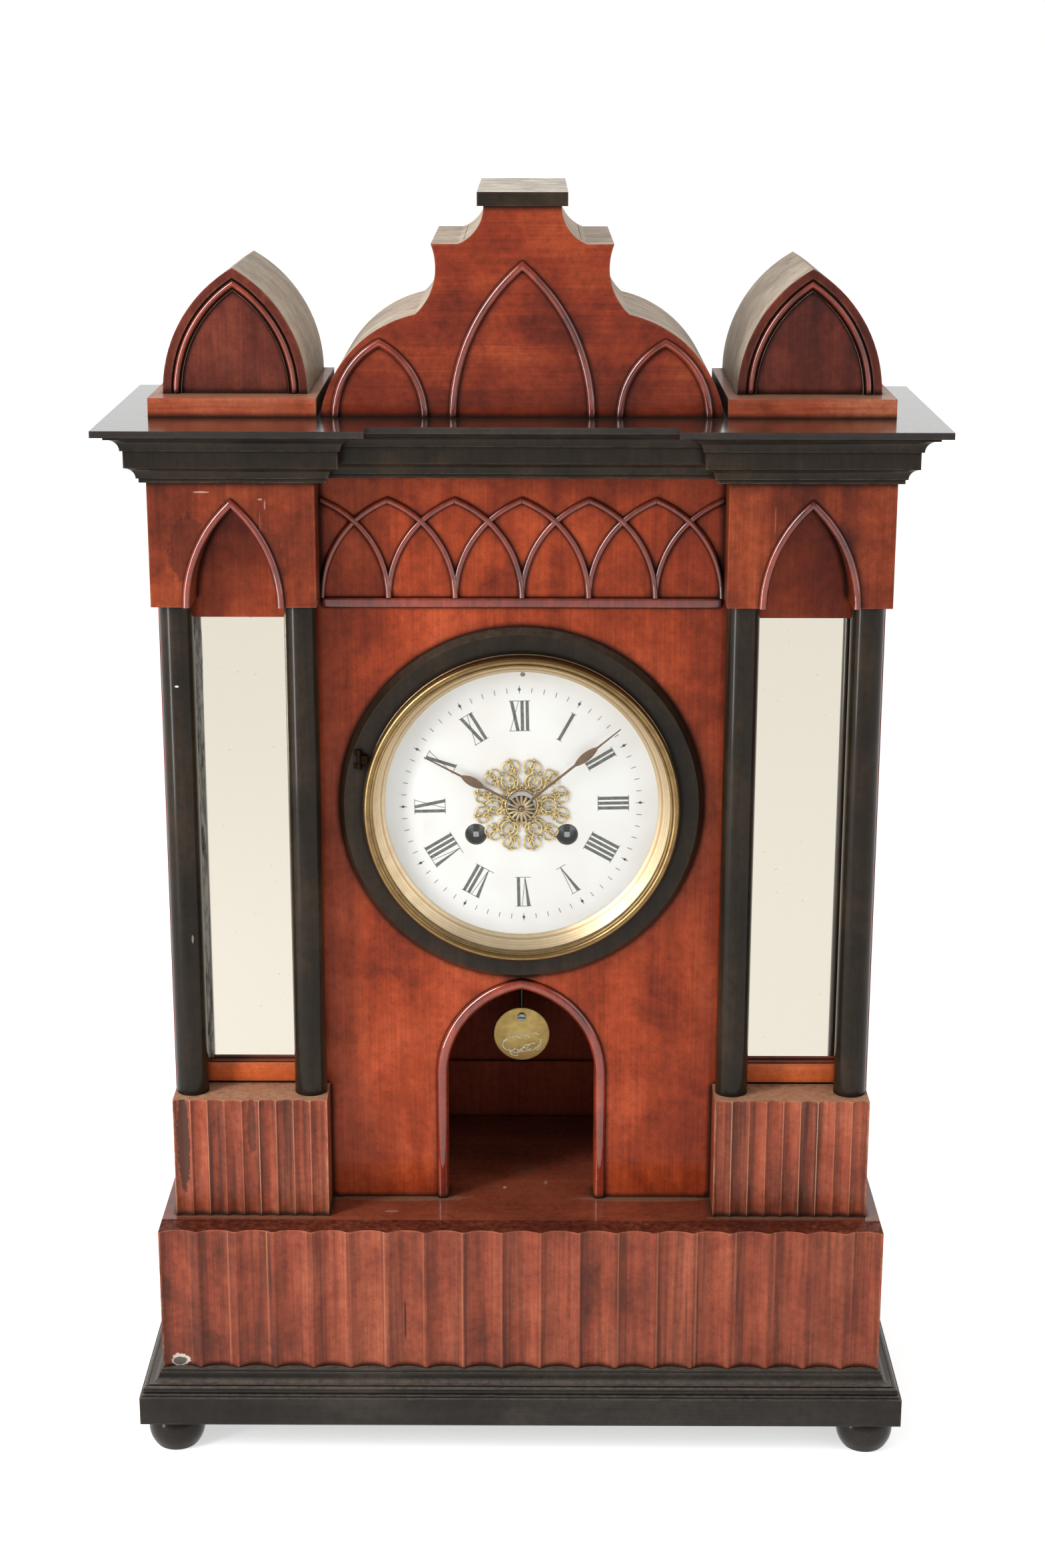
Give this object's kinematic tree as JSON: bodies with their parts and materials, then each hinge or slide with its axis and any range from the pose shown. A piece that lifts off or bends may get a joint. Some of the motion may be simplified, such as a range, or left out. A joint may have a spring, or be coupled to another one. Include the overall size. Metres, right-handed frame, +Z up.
{
  "type": "mantel clock",
  "caption": "Gothic pendulum mantel clock: columned wooden case with mirrored niches, pointed arches, white enamel dial and a round striking movement.",
  "frame": {"origin": "centre of the footprint on the floor, under the feet", "axes": "+Z up, the dial faces -Y, +X to the right as seen from the front"},
  "size_m": [0.372, 0.162, 0.5894],
  "materials": {
    "stained_wood": "satin",
    "dark_stained_wood": "satin",
    "ebonised_wood": "semi gloss",
    "plain_back_wood": "matt",
    "mirror_glass": "aged silvering",
    "enamel": "glossy",
    "gilt_brass": "satin",
    "brass": "polished",
    "bezel_brass": "aged",
    "glass": "clear",
    "steel": "polished",
    "bronzed_steel": "aged"
  },
  "bodies": {
    "case": {"bun_feet": "ebonised_wood", "plinth": "ebonised_wood", "base_front": "stained_wood", "base_carcass": "dark_stained_wood", "pedestals": "stained_wood", "columns": "ebonised_wood", "arch_blocks": "stained_wood", "arch_beads": "dark_stained_wood", "case_front": "stained_wood", "mirrors": "mirror_glass", "niche_rails": "stained_wood", "case_sides": "dark_stained_wood", "back_frame": "plain_back_wood", "door_fittings": "brass", "dial_surround": "ebonised_wood", "frieze_lattice": "dark_stained_wood", "cornice": "ebonised_wood", "cornice_top": "ebonised_wood", "tower_boards": "stained_wood", "towers": "dark_stained_wood", "crest": "stained_wood", "crest_cap": "ebonised_wood", "dial_pan": "gilt_brass", "movement_bars": "brass", "bar_screws": "steel", "dial": "enamel", "rosette": "gilt_brass", "front_plate": "brass", "back_plate": "brass", "pillars": "brass", "bezel_hinge": "bezel_brass", "suspension_cock": "brass", "bell": "brass", "bell_stand": "steel"},
    "bezel": {"bezel": "bezel_brass", "bezel_glass": "glass"},
    "minute": {"minute_hand": "bronzed_steel", "center_boss": "gilt_brass", "cannon_pinion": "brass"},
    "center": {"center_arbor": "brass"},
    "hour": {"hour_hand": "bronzed_steel", "hour_wheel": "brass"},
    "minute_wheel": {"minute_wheel": "brass"},
    "second_wheel": {"second_wheel": "brass"},
    "going_barrel": {"going_barrel": "brass"},
    "third_wheel": {"third_wheel": "brass"},
    "escape_wheel": {"escape_wheel": "brass"},
    "pendulum": {"pendulum_rod": "steel", "pendulum_bob": "brass"},
    "anchor": {"anchor": "steel"},
    "rating_screw": {"rating_screw": "steel"},
    "pin_wheel": {"pin_wheel": "brass"},
    "count_arbor": {"count_arbor": "brass"},
    "strike_barrel": {"strike_barrel": "brass"},
    "fly": {"fly": "brass"},
    "hammer": {"hammer": "steel"},
    "winding_going": {"winding_arbor_going": "steel"},
    "winding_strike": {"winding_arbor_strike": "steel"},
    "back_door": {"back_door": "plain_back_wood"},
    "door_button": {"door_button": "brass"}
  },
  "joints": [
    {"name": "minute_turn", "type": "hinge", "parent": "case", "child": "minute", "pos_m": [0, 0, 0.3113], "axis": [0, 1, 0], "continuous": true},
    {"name": "hour_turn", "type": "hinge", "parent": "case", "child": "hour", "pos_m": [0, 0, 0.3113], "axis": [0, 1, 0], "continuous": true},
    {"name": "minute_wheel_turn", "type": "hinge", "parent": "case", "child": "minute_wheel", "pos_m": [0.0031, 0, 0.32289], "axis": [0, 1, 0], "continuous": true},
    {"name": "escape_wheel_turn", "type": "hinge", "parent": "case", "child": "escape_wheel", "pos_m": [0, 0, 0.33587], "axis": [0, 1, 0], "continuous": true},
    {"name": "third_wheel_turn", "type": "hinge", "parent": "case", "child": "third_wheel", "pos_m": [0, 0, 0.32495], "axis": [0, 1, 0], "continuous": true},
    {"name": "center_turn", "type": "hinge", "parent": "case", "child": "center", "pos_m": [0, 0, 0.3113], "axis": [0, 1, 0], "continuous": true},
    {"name": "second_wheel_turn", "type": "hinge", "parent": "case", "child": "second_wheel", "pos_m": [0.0134, 0, 0.31657], "axis": [0, 1, 0], "continuous": true},
    {"name": "going_barrel_turn", "type": "hinge", "parent": "case", "child": "going_barrel", "pos_m": [0.0212, 0, 0.2969], "axis": [0, 1, 0], "continuous": true},
    {"name": "pendulum_swing", "type": "hinge", "parent": "case", "child": "pendulum", "pos_m": [0, 0.029, 0.3489], "axis": [0, 1, 0], "range_deg": [-2, 2]},
    {"name": "anchor_rock", "type": "hinge", "parent": "case", "child": "anchor", "pos_m": [0, 0, 0.3489], "axis": [0, 1, 0], "range_deg": [-2, 2]},
    {"name": "rating_screw_turn", "type": "hinge", "parent": "pendulum", "child": "rating_screw", "pos_m": [0, 0.0265, 0.18354], "axis": [0, 1, 0], "continuous": true},
    {"name": "fly_turn", "type": "hinge", "parent": "case", "child": "fly", "pos_m": [-0.0195, 0, 0.33358], "axis": [0, 1, 0], "continuous": true},
    {"name": "pin_wheel_turn", "type": "hinge", "parent": "case", "child": "pin_wheel", "pos_m": [-0.0249, 0, 0.32524], "axis": [0, 1, 0], "continuous": true},
    {"name": "count_arbor_turn", "type": "hinge", "parent": "case", "child": "count_arbor", "pos_m": [-0.0134, 0, 0.31657], "axis": [0, 1, 0], "continuous": true},
    {"name": "strike_barrel_turn", "type": "hinge", "parent": "case", "child": "strike_barrel", "pos_m": [-0.0212, 0, 0.2969], "axis": [0, 1, 0], "continuous": true},
    {"name": "hammer_lift", "type": "hinge", "parent": "case", "child": "hammer", "pos_m": [-0.0375, 0, 0.3333], "axis": [0, 1, 0], "range_deg": [0, 10]},
    {"name": "winding_going_turn", "type": "hinge", "parent": "case", "child": "winding_going", "pos_m": [0.0212, 0, 0.2969], "axis": [0, 1, 0], "continuous": true},
    {"name": "winding_strike_turn", "type": "hinge", "parent": "case", "child": "winding_strike", "pos_m": [-0.0212, 0, 0.2969], "axis": [0, 1, 0], "continuous": true},
    {"name": "bezel_open", "type": "hinge", "parent": "case", "child": "bezel", "pos_m": [-0.0746, -0.0379, 0.3347], "axis": [0, 0, 1], "range_deg": [-110, 0]},
    {"name": "back_door_open", "type": "hinge", "parent": "case", "child": "back_door", "pos_m": [-0.0752, 0.0793, 0.28925], "axis": [0, 0, 1], "range_deg": [0, 110]},
    {"name": "door_button_turn", "type": "hinge", "parent": "case", "child": "door_button", "pos_m": [0.082, 0.079, 0.28925], "axis": [0, 1, 0], "range_deg": [-90, 90]}
  ],
  "couplings": [
    {"joint": "hour_turn", "follows": "minute_turn", "ratio": 0.083333},
    {"joint": "minute_wheel_turn", "follows": "minute_turn", "ratio": -0.33333},
    {"joint": "center_turn", "follows": "minute_turn", "ratio": 1},
    {"joint": "third_wheel_turn", "follows": "minute_turn", "ratio": -12},
    {"joint": "escape_wheel_turn", "follows": "minute_turn", "ratio": 132},
    {"joint": "second_wheel_turn", "follows": "minute_turn", "ratio": -0.14286},
    {"joint": "going_barrel_turn", "follows": "minute_turn", "ratio": 0.021429},
    {"joint": "anchor_rock", "follows": "pendulum_swing", "ratio": 1},
    {"joint": "fly_turn", "follows": "pin_wheel_turn", "ratio": -9.1429},
    {"joint": "count_arbor_turn", "follows": "pin_wheel_turn", "ratio": -0.14286},
    {"joint": "strike_barrel_turn", "follows": "pin_wheel_turn", "ratio": 0.021429}
  ]
}
